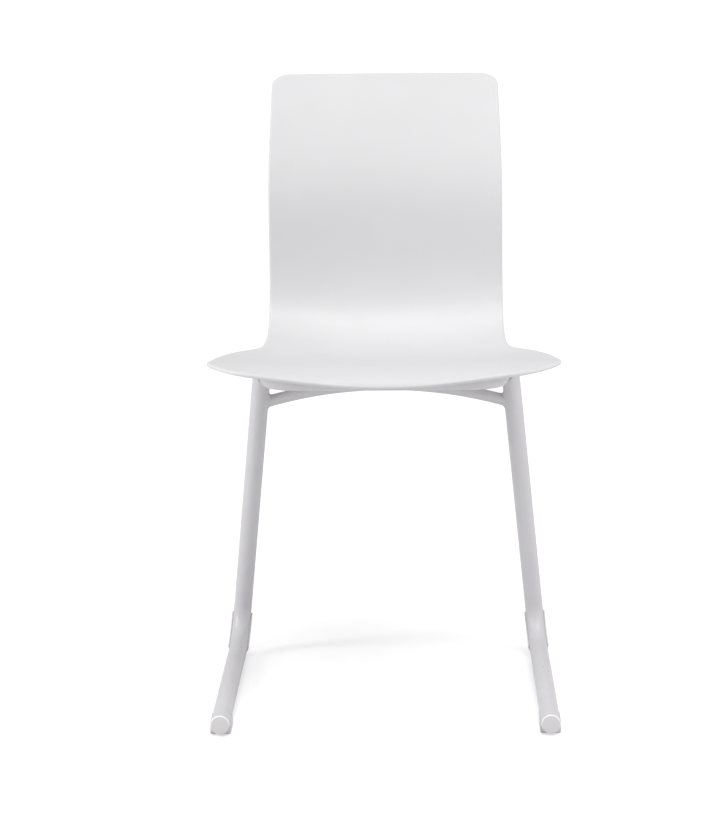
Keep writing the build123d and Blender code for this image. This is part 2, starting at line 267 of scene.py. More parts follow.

# Stage: the floor, the surround, the lights and the camera
FLOOR_HALF = 80.0
FLOOR_LIFT = 0.40  # how much brighter the floor looks to the lens
SURROUND_COLOUR = (0.985, 0.985, 1.0, 1)
SURROUND = 0.56
BACKDROP = 1.05  # how bright the surround looks to the lens
OVERHEAD = 1.3
OVERHEAD_WAY = (-0.10, 0.40, -0.91)
OVERHEAD_SPREAD = math.radians(42)
PANELS = {  # place and power
    "left_softbox": ((-2.2, -0.6, 1.2), 24.0),
    "right_softbox": ((1.0, -0.35, 0.8), 4.0),
}
PANEL_SIZE = (0.6, 1.4)
PANEL_AIM = Vector((0, 0, 0.35))
LENS = 123.8
LENS_PLACE = Vector((0.046, FRONT - 3.569, 1.048))
LENS_ACROSS = math.radians(1.32)
LENS_DOWN = math.radians(10.1)
LENS_ROLL = math.radians(0.55)
FAR_CLIP = 200


# ------------------------------------------------------------------ curves
def smooth(table, x):
    """A smooth curve through the rows of a table, read at x, which never overshoots them."""
    xs = [row[0] for row in table]
    ys = [row[1] for row in table]
    if x <= xs[0]:
        return ys[0]
    if x >= xs[-1]:
        return ys[-1]
    slopes = [(ys[k + 1] - ys[k]) / (xs[k + 1] - xs[k]) for k in range(len(xs) - 1)]

    def tangent(k):
        if k in (0, len(xs) - 1):
            return slopes[min(k, len(slopes) - 1)]
        before, after = slopes[k - 1], slopes[k]
        return 0.0 if before * after <= 0 else 2 * before * after / (before + after)

    i = bisect.bisect_right(xs, x) - 1
    step = xs[i + 1] - xs[i]
    t = (x - xs[i]) / step
    rise = (3 * t * t - 2 * t**3) * (ys[i + 1] - ys[i])
    return ys[i] + rise + step * ((t - 2 * t * t + t**3) * tangent(i) + (t**3 - t * t) * tangent(i + 1))


def natural_spline(knots, values, at):
    """A natural cubic spline through values at knots, read at the places in at."""
    h = np.diff(knots)
    n = len(knots)
    matrix = np.eye(n)
    right = np.zeros(n)
    for i in range(1, n - 1):
        matrix[i, i - 1 : i + 2] = (h[i - 1], 2 * (h[i - 1] + h[i]), h[i])
        right[i] = 6 * ((values[i + 1] - values[i]) / h[i] - (values[i] - values[i - 1]) / h[i - 1])
    bend = np.linalg.solve(matrix, right)
    i = np.clip(np.searchsorted(knots, at) - 1, 0, n - 2)
    a = (knots[i + 1] - at) / h[i]
    b = (at - knots[i]) / h[i]
    curved = ((a**3 - a) * bend[i] + (b**3 - b) * bend[i + 1]) * h[i] ** 2 / 6
    return a * values[i] + b * values[i + 1] + curved


def rounded_path(corners, radii, step=BEND_STEP):
    """Points of a polyline whose inner corners are arcs of the given radii."""
    points = [corners[0]]
    for before, corner, after, radius in zip(corners, corners[1:], corners[2:], radii):
        came = (corner - before).normalized()
        goes = (after - corner).normalized()
        turn = came.angle(goes)
        start = corner - came * radius * math.tan(turn / 2)
        inward = (goes - came * goes.dot(came)).normalized()
        count = max(2, round(turn / step))
        for k in range(count + 1):
            angle = turn * k / count
            points.append(start + came * radius * math.sin(angle) + inward * radius * (1 - math.cos(angle)))
    points.append(corners[-1])
    return points


def sided(point, side):
    """A point given for the left side, on the side asked for."""
    return Vector((point.x * SIDES[side], point.y, point.z))


def leg_points(side):
    """Centre line of one leg: runner, heel bend, upright, shoulder bend and rail."""
    joint = FRONT_CORNER + (SHOULDER - FRONT_CORNER).normalized() * TUBE_JOINT
    corners = [sided(p, side) for p in (RUNNER, HEEL, SHOULDER, joint)]
    return rounded_path(corners, [HEEL_BEND_R, SHOULDER_BEND_R])


def hoop_points():
    """Centre line of the front cross tube with its corner bends."""
    joint = FRONT_CORNER + (SHOULDER - FRONT_CORNER).normalized() * TUBE_JOINT
    corners = [sided(joint, "left"), FRONT_CORNER, sided(FRONT_CORNER, "right"), sided(joint, "right")]
    return rounded_path(corners, [FRONT_BEND_R, FRONT_BEND_R])


def upright_point(height, side):
    """The point of an upright's centre line at a height."""
    return sided(HEEL.lerp(SHOULDER, (height - HEEL.z) / (SHOULDER.z - HEEL.z)), side)


def bar_points(count=60):
    """Centre line of the arched bar, a circle's arc between the uprights' centre lines."""
    end = upright_point(BAR_END_Z, "left")
    radius = (end.x**2 + BAR_RISE**2) / (2 * BAR_RISE)
    half = math.asin(end.x / radius)
    top = BAR_END_Z + BAR_RISE
    angles = [half * (1 - 2 * k / count) for k in range(count + 1)]
    return [Vector((radius * math.sin(a), end.y, top - radius * (1 - math.cos(a)))) for a in angles]


# ------------------------------------------------------------------ mesh helpers
def plain_mesh(name, verts, faces):
    """A mesh from points and faces, as they are."""
    mesh = bpy.data.meshes.new(name)
    mesh.from_pydata([tuple(v) for v in verts], [], faces)
    return mesh


def mesh_object(name, verts, faces, nodes, material, round_off=0.0, cutters=()):
    """A piece from points and faces, with other meshes cut out and its sharp edges rounded if asked."""
    mesh = plain_mesh(name, verts, faces)
    if round_off or cutters:
        mesh = rounded(mesh, round_off, cutters)
    return finish_piece(name, mesh, nodes, material)


def rounded(mesh, width, cutters=()):
    """A mesh with other meshes cut out of it and its sharp edges rounded."""
    tidy(mesh)
    carrier = bpy.data.objects.new("carrier", mesh)
    bpy.context.scene.collection.objects.link(carrier)
    tools = []
    for cutter in cutters:
        tidy(cutter)
        tool = bpy.data.objects.new("tool", cutter)
        bpy.context.scene.collection.objects.link(tool)
        tools.append(tool)
        cut = carrier.modifiers.new("cut", "BOOLEAN")
        cut.operation = "DIFFERENCE"
        cut.solver = "EXACT"
        cut.object = tool
    if width:
        edge = carrier.modifiers.new("edge", "BEVEL")
        edge.width = width
        edge.segments = BEVEL_SEGMENTS
        edge.limit_method = "ANGLE"
        edge.angle_limit = BEVEL_ANGLE
        edge.use_clamp_overlap = True
    depsgraph = bpy.context.evaluated_depsgraph_get()
    made = bpy.data.meshes.new_from_object(carrier.evaluated_get(depsgraph))
    for thing in [carrier] + tools:
        bpy.data.objects.remove(thing)
    return made


def tidy(mesh):
    """Merges doubled points and turns every normal outward."""
    work = bmesh.new()
    work.from_mesh(mesh)
    bmesh.ops.remove_doubles(work, verts=work.verts, dist=MERGE_DISTANCE)
    bmesh.ops.recalc_face_normals(work, faces=work.faces)
    work.to_mesh(mesh)
    work.free()


def finish_piece(name, mesh, nodes, material):
    """A piece from a finished mesh, riding on the chair and standing for CAD nodes."""
    tidy(mesh)
    mesh.name = name
    piece = bpy.data.objects.new(name, mesh)
    bpy.context.scene.collection.objects.link(piece)
    mesh.materials.clear()
    mesh.materials.append(material)
    mesh.polygons.foreach_set("use_smooth", [True] * len(mesh.polygons))
    mesh.set_sharp_from_angle(angle=SHARP_ANGLE)
    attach(piece, "root")
    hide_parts(*nodes)
    return piece


def lathe(verts, faces, profile, at, axis="Z", steps=48, shape=None):
    """Adds a turned solid: (radius, height) rows round an axis, closed where the radius is 0."""
    rows = []
    for radius, height in profile:
        count = 1 if radius == 0 else steps
        row = []
        for k in range(count):
            angle = 2 * math.pi * k / steps
            reach = radius * (shape(angle) if shape and radius == shape.radius else 1)
            x, y = reach * math.cos(angle), reach * math.sin(angle)
            row.append(len(verts))
            verts.append(at + (Vector((x, y, height)) if axis == "Z" else Vector((x, height, -y))))
        rows.append(row)
    for low, high in zip(rows, rows[1:]):
        for k in range(steps):
            lower = [low[k % len(low)], low[(k + 1) % len(low)]]
            upper = [high[(k + 1) % len(high)], high[k % len(high)]]
            corners = list(dict.fromkeys(lower + upper))
            if len(corners) > 2:
                faces.append(corners)


def sweep_outline(verts, faces, outline, stations):
    """Adds a solid: an outline of (a, b) points carried along stations of (place, a's way, b's way)."""
    start, count = len(verts), len(outline)
    for place, a_way, b_way in stations:
        verts.extend(place + a_way * a + b_way * b for a, b in outline)
    for row in range(len(stations) - 1):
        for k in range(count):
            low, after = start + row * count, (k + 1) % count
            faces.append([low + k, low + after, low + count + after, low + count + k])
    faces.append([start + k for k in reversed(range(count))])
    last = start + (len(stations) - 1) * count
    faces.append([last + k for k in range(count)])


def arc_points(radius, start, end, count, centre=(0.0, 0.0)):
    """Points of a flat arc between two angles."""
    angles = [start + (end - start) * k / count for k in range(count + 1)]
    return [(centre[0] + radius * math.cos(a), centre[1] + radius * math.sin(a)) for a in angles]


def clip_section(outer, inner, lip):
    """Outline of a C-shaped clip that covers the outward side of a tube and reaches lip past its middle."""
    outer_end, inner_end = math.acos(-lip / outer), math.acos(-lip / inner)
    outside = arc_points(outer, -outer_end, outer_end, CLIP_STEPS)
    return outside + arc_points(inner, inner_end, -inner_end, CLIP_STEPS)


def rail_point(behind):
    """The point of the left rail's centre line at a distance behind FRONT."""
    return FRONT_CORNER.lerp(SHOULDER, (FRONT + behind - FRONT_CORNER.y) / (SHOULDER.y - FRONT_CORNER.y))


def mounting_places():
    """Where each shell screw's axis meets the upper face of its plate: x, distance behind FRONT, height."""
    places = []
    for behind, inset in MOUNTINGS:
        rail = rail_point(behind)
        places += [((rail.x - inset) * sign, behind, rail.z) for sign in SIDES.values()]
    return places


# ------------------------------------------------------------------ shader groups
class Wiring:
    """Adds nodes to a tree in a short form."""

    def __init__(self, tree):
        self.tree = tree

    def node(self, kind, values=None, **settings):
        """A node with its settings; its inputs are linked to sockets or set to plain values."""
        made = self.tree.nodes.new(kind)
        for key, value in settings.items():
            setattr(made, key, value)
        for key, value in (values or {}).items():
            if isinstance(value, bpy.types.NodeSocket):
                self.tree.links.new(value, made.inputs[key])
            else:
                made.inputs[key].default_value = value
        return made

    def math(self, operation, a, b=0.0, clamp=False):
        """The result of a sum on two values, held between 0 and 1 if asked."""
        return self.node("ShaderNodeMath", {0: a, 1: b}, operation=operation, use_clamp=clamp).outputs[0]

    def noise(self, where, scale, detail=2.0, roughness=0.5):
        """Soft clouds of values round 0.5."""
        values = {"Vector": where, "Scale": scale, "Detail": detail, "Roughness": roughness}
        return self.node("ShaderNodeTexNoise", values).outputs[0]

    def spread(self, value, low, high, to_low=0.0, to_high=1.0):
        """A value's range stretched onto another range, and held inside it."""
        values = {"Value": value, "From Min": low, "From Max": high, "To Min": to_low, "To Max": to_high}
        return self.node("ShaderNodeMapRange", values).outputs[0]

    def tint(self, amount, first, second):
        """A colour between two colours."""
        made = self.node("ShaderNodeMix", data_type="RGBA")
        for index, value in ((0, amount), (6, first), (7, second)):
            if isinstance(value, bpy.types.NodeSocket):
                self.tree.links.new(value, made.inputs[index])
            else:
                made.inputs[index].default_value = value
        return made.outputs[2]


def shader_group(name, inputs, outputs):
    """An empty shader group with named float inputs (with defaults) and outputs."""
    tree = bpy.data.node_groups.new(name, "ShaderNodeTree")
    tree.interface.new_socket("Vector", in_out="INPUT", socket_type="NodeSocketVector")
    for label, default in inputs:
        socket = tree.interface.new_socket(label, in_out="INPUT", socket_type="NodeSocketFloat")
        socket.default_value = default
    for label in outputs:
        tree.interface.new_socket(label, in_out="OUTPUT", socket_type="NodeSocketFloat")
    wiring = Wiring(tree)
    return tree, wiring, wiring.node("NodeGroupInput"), wiring.node("NodeGroupOutput")


def moulded_grain_group():
    """The fine leathery grain of a moulded plastic face, as a height."""
    inputs = [("Grain Size", 1 * MM), ("Unevenness", 0.3)]
    tree, w, source, sink = shader_group("moulded_grain", inputs, ["Height"])
    scale = w.math("DIVIDE", 1.0, source.outputs["Grain Size"])
    cells = w.node("ShaderNodeTexVoronoi", {"Vector": source.outputs["Vector"], "Scale": scale}).outputs[0]
    fine = w.noise(source.outputs["Vector"], scale, 3.0, 0.6)
    broad = w.noise(source.outputs["Vector"], w.math("MULTIPLY", scale, 0.02), 2.0)
    height = w.math("ADD", w.math("MULTIPLY", cells, 0.5), w.math("MULTIPLY", fine, 0.5))
    height = w.math("ADD", height, w.math("MULTIPLY", broad, source.outputs["Unevenness"]))
    tree.links.new(height, sink.inputs["Height"])
    return tree


def handling_wear_group():
    """Broad rubbed patches and thin hairline marks, each as a mask."""
    inputs = [("Patch Size", 0.12), ("Mark Density", 0.5)]
    tree, w, source, sink = shader_group("handling_wear", inputs, ["Rubbed", "Marks"])
    where = source.outputs["Vector"]
    patches = w.noise(where, w.math("DIVIDE", 1.0, source.outputs["Patch Size"]), 4.0, 0.6)
    tree.links.new(w.spread(patches, 0.42, 0.68), sink.inputs["Rubbed"])
    drawn_out = {"Vector": where, "Rotation": (0.3, 0.2, 0.7), "Scale": (9.0, 160.0, 60.0)}
    streaks = w.node("ShaderNodeMapping", drawn_out)
    lines = w.noise(streaks.outputs[0], 1.0, 2.0, 0.4)
    near = w.math("ABSOLUTE", w.math("SUBTRACT", lines, 0.5))
    marks = w.spread(near, 0.004, 0.0)
    marks = w.math("MULTIPLY", marks, w.spread(patches, 0.5, 0.6), clamp=True)
    tree.links.new(w.math("MULTIPLY", marks, source.outputs["Mark Density"]), sink.inputs["Marks"])
    return tree


def settled_dust_group():
    """Dust near the floor and in faint specks, as a mask."""
    tree, w, source, sink = shader_group("settled_dust", [("Reach", 0.05), ("Specks", 0.4)], ["Dust"])
    height = w.node("ShaderNodeSeparateXYZ", {"Vector": source.outputs["Vector"]}).outputs["Z"]
    low = w.math("SUBTRACT", 1.0, w.math("DIVIDE", height, source.outputs["Reach"]), clamp=True)
    clouds = w.spread(w.noise(source.outputs["Vector"], 55.0, 4.0, 0.65), 0.4, 0.7)
    specks = w.spread(w.noise(source.outputs["Vector"], 420.0, 1.0), 0.74, 0.8)
    by_floor = w.math("MULTIPLY", low, clouds)
    scattered_specks = w.math("MULTIPLY", specks, source.outputs["Specks"])
    tree.links.new(w.math("ADD", by_floor, scattered_specks, clamp=True), sink.inputs["Dust"])
    return tree


def coat_ripple_group():
    """The soft orange-peel ripple of a powder coat, as a height."""
    tree, w, source, sink = shader_group("coat_ripple", [("Ripple Size", 2 * MM)], ["Height"])
    scale = w.math("DIVIDE", 1.0, source.outputs["Ripple Size"])
    ripple = w.noise(source.outputs["Vector"], scale, 1.5, 0.4)
    fine = w.noise(source.outputs["Vector"], w.math("MULTIPLY", scale, 4.0), 2.0, 0.5)
    height = w.math("ADD", w.math("MULTIPLY", ripple, 0.8), w.math("MULTIPLY", fine, 0.2))
    tree.links.new(height, sink.inputs["Height"])
    return tree


GROUPS = {
    "grain": moulded_grain_group(),
    "wear": handling_wear_group(),
    "dust": settled_dust_group(),
    "ripple": coat_ripple_group(),
}


# ------------------------------------------------------------------ materials
def material_with(name):
    """A new material: its wiring, its Principled shader and the object coordinates."""
    material = bpy.data.materials.new(name)
    material.use_nodes = True
    material.node_tree.nodes.clear()
    w = Wiring(material.node_tree)
    shader = w.node("ShaderNodeBsdfPrincipled")
    output = w.node("ShaderNodeOutputMaterial")
    material.node_tree.links.new(shader.outputs[0], output.inputs["Surface"])
    where = w.node("ShaderNodeTexCoord").outputs["Object"]
    return material, w, shader, where


def group_node(w, key, where, **values):
    """A shader group placed in a material; Mark_Density sets its input called Mark Density."""
    made = w.node("ShaderNodeGroup", node_tree=GROUPS[key])
    w.tree.links.new(where, made.inputs["Vector"])
    for label, value in values.items():
        made.inputs[label.replace("_", " ")].default_value = value
    return made


def add_bump(w, shader, height, strength, distance):
    """Bends a shader's normal by a height."""
    bumped = w.node("ShaderNodeBump", {"Height": height, "Strength": strength, "Distance": distance})
    w.tree.links.new(bumped.outputs[0], shader.inputs["Normal"])


def painted_rim_highlight_mask(w, where):
    """A mask of the upper part of the end caps' rounded edge, where a highlight from above is painted on."""
    axes = w.node("ShaderNodeSeparateXYZ", {"Vector": where})
    across = w.math("SUBTRACT", w.math("ABSOLUTE", axes.outputs["X"]), RUNNER.x)
    up = w.math("SUBTRACT", axes.outputs["Z"], RUNNER.z)
    reach = w.math("SQRT", w.math("ADD", w.math("MULTIPLY", across, across), w.math("MULTIPLY", up, up)))
    edge = w.spread(reach, CAP_HEAD_R - CAP_EDGE_R, CAP_HEAD_R - CAP_EDGE_R / 2)
    return w.math("MULTIPLY", edge, w.spread(up, -CAP_HEAD_R / 2, CAP_HEAD_R / 4))


def plastic(name, colours, roughness, grain, bump, dusty=0.0, paint_rim_highlight=False):
    """Moulded plastic with a fine grain, rubbed patches and hairline marks, and if asked a painted highlight
    on the end caps' upper rim.
    """
    material, w, shader, where = material_with(name)
    wear = group_node(w, "wear", where, Patch_Size=0.11, Mark_Density=0.35)
    shade = w.tint(w.math("MULTIPLY", wear.outputs["Rubbed"], 0.6), *colours)
    if dusty:
        dust = group_node(w, "dust", where, Reach=0.03, Specks=0.2)
        shade = w.tint(w.math("MULTIPLY", dust.outputs["Dust"], dusty), shade, PLASTIC_DUST)
    # painted highlight: the upper part of the caps' rounded edge is made lighter in colour
    if paint_rim_highlight:
        shade = w.tint(painted_rim_highlight_mask(w, where), shade, PAINTED_RIM_HIGHLIGHT)
    w.tree.links.new(shade, shader.inputs["Base Color"])
    rough = w.spread(wear.outputs["Rubbed"], 0.0, 1.0, roughness, roughness - 0.07)
    rough = w.math("ADD", rough, w.math("MULTIPLY", wear.outputs["Marks"], 0.25), clamp=True)
    w.tree.links.new(rough, shader.inputs["Roughness"])
    shader.inputs["IOR"].default_value = 1.49
    height = group_node(w, "grain", where, Grain_Size=grain, Unevenness=0.25).outputs["Height"]
    height = w.math("SUBTRACT", height, w.math("MULTIPLY", wear.outputs["Marks"], 0.8))
    add_bump(w, shader, height, bump, 0.15 * MM)
    return material


def powder_coat():
    """Satin light-grey powder coat: soft ripple, faint rubs, a little floor dust and a painted highlight on
    the runners' rounded front ends.
    """
    material, w, shader, where = material_with("powder_coat")
    wear = group_node(w, "wear", where, Patch_Size=0.07, Mark_Density=0.6)
    dust = group_node(w, "dust", where, Reach=0.09, Specks=0.15)
    shade = w.tint(wear.outputs["Rubbed"], *FRAME_GREYS)
    shade = w.tint(w.math("MULTIPLY", dust.outputs["Dust"], 0.07), shade, PAINT_DUST)
    # painted highlight: the runners' rounded front ends are made lighter in colour
    depth = w.node("ShaderNodeSeparateXYZ", {"Vector": where}).outputs["Y"]
    end_highlight = w.spread(depth, RUNNER.y + END_ROUND, RUNNER.y + END_ROUND / 3)
    shade = w.tint(end_highlight, shade, PAINTED_END_HIGHLIGHT)
    w.tree.links.new(shade, shader.inputs["Base Color"])
    rough = w.spread(wear.outputs["Rubbed"], 0.0, 1.0, 0.30, 0.27)
    rough = w.math("ADD", rough, w.math("MULTIPLY", dust.outputs["Dust"], 0.12), clamp=True)
    w.tree.links.new(rough, shader.inputs["Roughness"])
    height = group_node(w, "ripple", where, Ripple_Size=1.8 * MM).outputs["Height"]
    height = w.math("SUBTRACT", height, w.math("MULTIPLY", wear.outputs["Marks"], 0.5))
    add_bump(w, shader, height, 0.18, 0.1 * MM)
    return material


def plated_metal(name, colours, roughness):
    """Plated or turned metal with soft duller blotches."""
    material, w, shader, where = material_with(name)
    wear = group_node(w, "wear", where, Patch_Size=0.006, Mark_Density=1.0)
    w.tree.links.new(w.tint(wear.outputs["Rubbed"], *colours), shader.inputs["Base Color"])
    shader.inputs["Metallic"].default_value = 1.0
    rough = w.spread(wear.outputs["Rubbed"], 0, 1, roughness, roughness + 0.15)
    w.tree.links.new(rough, shader.inputs["Roughness"])
    height = group_node(w, "ripple", where, Ripple_Size=0.5 * MM).outputs["Height"]
    add_bump(w, shader, height, 0.2, 0.05 * MM)
    return material


def floor_paint():
    """Plain pale studio floor with a barely visible mottling, lifted a little for the lens alone."""
    material, w, shader, where = material_with("studio_floor")
    mottle = w.spread(w.noise(where, 3.0, 3.0), 0.35, 0.65)
    w.tree.links.new(w.tint(mottle, *FLOOR_GREYS), shader.inputs["Base Color"])
    w.tree.links.new(w.spread(mottle, 0, 1, 0.85, 0.9), shader.inputs["Roughness"])
    shader.inputs["Specular IOR Level"].default_value = 0.2
    seen = w.node("ShaderNodeLightPath").outputs["Is Camera Ray"]
    shader.inputs["Emission Color"].default_value = (1, 1, 1, 1)
    w.tree.links.new(w.math("MULTIPLY", seen, FLOOR_LIFT), shader.inputs["Emission Strength"])
    return material


SHELL_PLASTIC = plastic("shell_plastic", SHELL_GREYS, roughness=0.56, grain=0.7 * MM, bump=0.3)
FRAME_PAINT = powder_coat()
# the end caps' plastic carries a painted highlight on its upper rim
CAP_PLASTIC = plastic("cap_plastic", CAP_GREYS, roughness=0.55, grain=0.5 * MM, bump=0.35, paint_rim_highlight=True)
GLIDER_PLASTIC = plastic("glider_plastic", GLIDER_GREYS, roughness=0.5, grain=0.5 * MM, bump=0.4, dusty=0.3)
BUFFER_PLASTIC = plastic("buffer_plastic", BUFFER_GREYS, roughness=0.5, grain=0.5 * MM, bump=0.4)
ZINC = plated_metal("zinc_plate", ZINC_GREYS, roughness=0.28)
BRASS = plated_metal("turned_brass", BRASS_YELLOWS, roughness=0.3)


# ------------------------------------------------------------------ shell
class Sheet:
    """The shell's upper face: a centre line, a width and a dish, read in millimetres."""

    def __init__(self):
        y, z = np.array(SHELL_PROFILE, float).T
        chord = np.concatenate([[0], np.cumsum(np.hypot(np.diff(y), np.diff(z)))])
        dense = np.linspace(0, chord[-1], SHEET_STEPS + 1)
        self.y = natural_spline(chord, y, dense)
        self.z = natural_spline(chord, z, dense)
        self.s = np.concatenate([[0], np.cumsum(np.hypot(np.diff(self.y), np.diff(self.z)))])
        self.length = self.s[-1]

    def drawn_in(self, distance):
        """How far the front's bow, less the top's crown, shifts a row where x is BOW_AT."""
        front = FRONT_BOW * max(0.0, 1 - distance / BOW_REACH) ** 2
        top = TOP_CROWN * max(0.0, 1 - (self.length - distance) / CROWN_REACH) ** 2
        return front - top

    def half_width(self, distance):
        """Half the sheet's width, with the top's rounded corners."""
        across, down = TOP_CORNER
        width = smooth(SHELL_HALF_WIDTH, distance)
        into = distance - (self.length - down)
        if into > 0:
            width -= across * (1 - math.sqrt(max(0.0, 1 - (into / down) ** 2)))
        return width

    def point(self, x, distance):
        """A point of the upper face, in metres."""
        along = distance + self.drawn_in(distance) * (x / BOW_AT) ** 2
        foot = min(max(along, 1.0), self.length - 1.0)
        near = [foot - 1, foot, foot + 1]
        y = np.interp(near, self.s, self.y)
        z = np.interp(near, self.s, self.z)
        dy, dz = (y[2] - y[0]) / 2, (z[2] - z[0]) / 2
        past = along - foot
        lift = smooth(SHELL_DISH, along) * (x / DISH_AT) ** 2 / math.hypot(dy, dz)
        behind = y[1] + dy * past - dz * lift
        height = z[1] + dz * past + dy * lift
        return Vector((x, behind, height)) * MM + Vector((0, FRONT, 0))

    def normal(self, x, distance):
        """The upper face's normal, upward."""
        across = self.point(x + 1, distance) - self.point(x - 1, distance)
        along = self.point(x, distance + 1) - self.point(x, distance - 1)
        return across.cross(along).normalized()

    def outline(self, inset, count=900):
        """The right half of the outline, drawn in by inset, from the front middle round to the top middle."""
        rows = [self.length * (0.5 - 0.5 * math.cos(math.pi * k / count)) for k in range(count + 1)]
        side = [(self.half_width(d), d) for d in rows]
        line = np.array([(0.0, 0.0)] + side + [(0.0, self.length)])
        run = np.gradient(line, axis=0)
        run[0], run[-1] = (1, 0), (-1, 0)
        run /= np.hypot(run[:, 0], run[:, 1])[:, None]
        return line + inset * np.stack([-run[:, 1], run[:, 0]], axis=1)

    def height_at(self, x, behind_front):
        """Height of the seat's upper face, in metres, above a point of the floor given in metres."""
        low, high = 0.0, self.length / 2
        for _ in range(30):
            middle = (low + high) / 2
            if self.point(x / MM, middle).y < FRONT + behind_front:
                low = middle
            else:
                high = middle
        return self.point(x / MM, low).z


def along_polyline(points, fractions):
    """Points at fractions of a polyline's length."""
    lengths = np.concatenate([[0], np.cumsum(np.hypot(*np.diff(points, axis=0).T))])
    at = np.asarray(fractions) * lengths[-1]
    return np.stack([np.interp(at, lengths, points[:, k]) for k in range(2)], axis=1)


def nearest_row(half, distance):
    """The row of the outline's side nearest to a distance along the centre line."""
    off_side = np.where(half[:, 0] < SIDE_FROM, np.inf, 0)
    return int(np.argmin(np.abs(half[:, 1] - distance) + off_side))


def shell_grid(sheet):
    """Grid places as (x, distance): the grid's sides follow the outline, its corners the round corners."""
    half = sheet.outline(SHELL_T / 2)
    front_cut = nearest_row(half, FRONT_CUT)
    top_cut = nearest_row(half, sheet.length - TOP_CUT)
    across = np.linspace(0, 1, GRID_ACROSS + 1)
    along = np.linspace(0, 1, GRID_ALONG + 1)
    mirror = np.array([-1.0, 1.0])
    front_half, top_half = half[: front_cut + 1], half[top_cut:]
    front = along_polyline(np.concatenate([(front_half * mirror)[::-1], front_half[1:]]), across)
    top = along_polyline(np.concatenate([(top_half * mirror), top_half[::-1][1:]]), across)
    right = along_polyline(half[front_cut : top_cut + 1], along)
    left = right * mirror
    v, u = np.meshgrid(along, across, indexing="ij")
    u, v = u[..., None], v[..., None]
    edges = (1 - v) * front[None] + v * top[None] + (1 - u) * left[:, None] + u * right[:, None]
    corners = (1 - u) * (1 - v) * front[0] + u * (1 - v) * front[-1] + (1 - u) * v * top[0] + u * v * top[-1]
    return edges - corners


def ring_of(rows, columns):
    """Grid indices round the edge of a grid, in order."""
    ring = [(0, j) for j in range(columns)]
    ring += [(i, columns - 1) for i in range(1, rows)]
    ring += [(rows - 1, j) for j in range(columns - 2, -1, -1)]
    ring += [(i, 0) for i in range(rows - 2, 0, -1)]
    return ring


def boss_profile(foot, sheet_middle):
    """A boss from its foot up into the sheet, flared where it meets the sheet's underside."""
    small = BOSS_EDGE / 4
    boss = [(0, foot), (INSERT_R, foot), (BOSS_R - BOSS_EDGE, foot)]
    boss += [(BOSS_R - small, foot + small), (BOSS_R, foot + BOSS_EDGE)]
    underside = sheet_middle - SHELL_T * MM / 2
    for a in QUARTER:
        boss.append((BOSS_R + BOSS_FLARE * (1 - math.cos(a)), underside - BOSS_FLARE * (1 - math.sin(a))))
    return boss + [(BOSS_R + BOSS_FLARE, sheet_middle), (0, sheet_middle)]


def build_shell():
    """The seat and back as one sheet with a rounded rim, and the bosses under the seat."""
    sheet = Sheet()
    grid = shell_grid(sheet)
    rows, columns = grid.shape[:2]
    thick = SHELL_T * MM
    upper = [[sheet.point(*grid[i, j]) for j in range(columns)] for i in range(rows)]
    normals = [[sheet.normal(*grid[i, j]) for j in range(columns)] for i in range(rows)]
    ring = ring_of(rows, columns)
    outward = {}
    for k, (i, j) in enumerate(ring):
        before, after = ring[k - 1], ring[(k + 1) % len(ring)]
        run = upper[after[0]][after[1]] - upper[before[0]][before[1]]
        outward[i, j] = run.cross(normals[i][j]).normalized()
    verts, index = [], {}

    def add(key, point):
        index[key] = len(verts)
        verts.append(point)

    for i in range(rows):
        for j in range(columns):
            add(("up", i, j), upper[i][j])
            add(("down", i, j), upper[i][j] - normals[i][j] * thick)
    for i, j in ring:
        middle = upper[i][j] - normals[i][j] * thick / 2
        for k in range(1, RIM_STEPS):
            angle = math.pi * k / RIM_STEPS
            rise = math.copysign(abs(math.cos(angle)) ** RIM_SQUARENESS, math.cos(angle))
            ridge = PARTING_RIDGE if 2 * k == RIM_STEPS else 0
            reach = math.sin(angle) ** RIM_SQUARENESS + ridge / SHELL_T
            add(("rim", i, j, k), middle + (normals[i][j] * rise + outward[i, j] * reach) * thick / 2)

    def rim(cell, k):
        if k == 0:
            return index["up", cell[0], cell[1]]
        if k == RIM_STEPS:
            return index["down", cell[0], cell[1]]
        return index["rim", cell[0], cell[1], k]

    faces = []
    for i in range(rows - 1):
        for j in range(columns - 1):
            cell = [(i, j), (i, j + 1), (i + 1, j + 1), (i + 1, j)]
            faces.append([index["up", a, b] for a, b in cell])
            faces.append([index["down", a, b] for a, b in reversed(cell)])
    for k, cell in enumerate(ring):
        after = ring[(k + 1) % len(ring)]
        for step in range(RIM_STEPS):
            faces.append([rim(cell, step), rim(cell, step + 1), rim(after, step + 1), rim(after, step)])
    for x, behind, z in mounting_places():
        boss = boss_profile(z, sheet.height_at(x, behind) - thick / 2)
        lathe(verts, faces, boss, Vector((x, FRONT + behind, 0)))
    return mesh_object("moulded_shell", verts, faces, ["seat_shell"], SHELL_PLASTIC)


# ------------------------------------------------------------------ tubes, by Geometry Nodes
def new_tree(name, inputs):
    """An empty Geometry Nodes tree with named inputs: its wiring, its input node and its output node."""
    tree = bpy.data.node_groups.new(name, "GeometryNodeTree")
    for label, kind in inputs:
        tree.interface.new_socket(label, in_out="INPUT", socket_type=kind)
    tree.interface.new_socket("Made", in_out="OUTPUT", socket_type="NodeSocketGeometry")
    w = Wiring(tree)
    return tree, w, w.node("NodeGroupInput").outputs, w.node("NodeGroupOutput")


def close_tree(w, geometry, source, sink):
    """Makes instances real, gives them their material and sends them out."""
    real = w.node("GeometryNodeRealizeInstances", {0: geometry})
    coated = w.node("GeometryNodeSetMaterial", {"Geometry": real.outputs[0], "Material": source["Finish"]})
    w.tree.links.new(coated.outputs[0], sink.inputs[0])


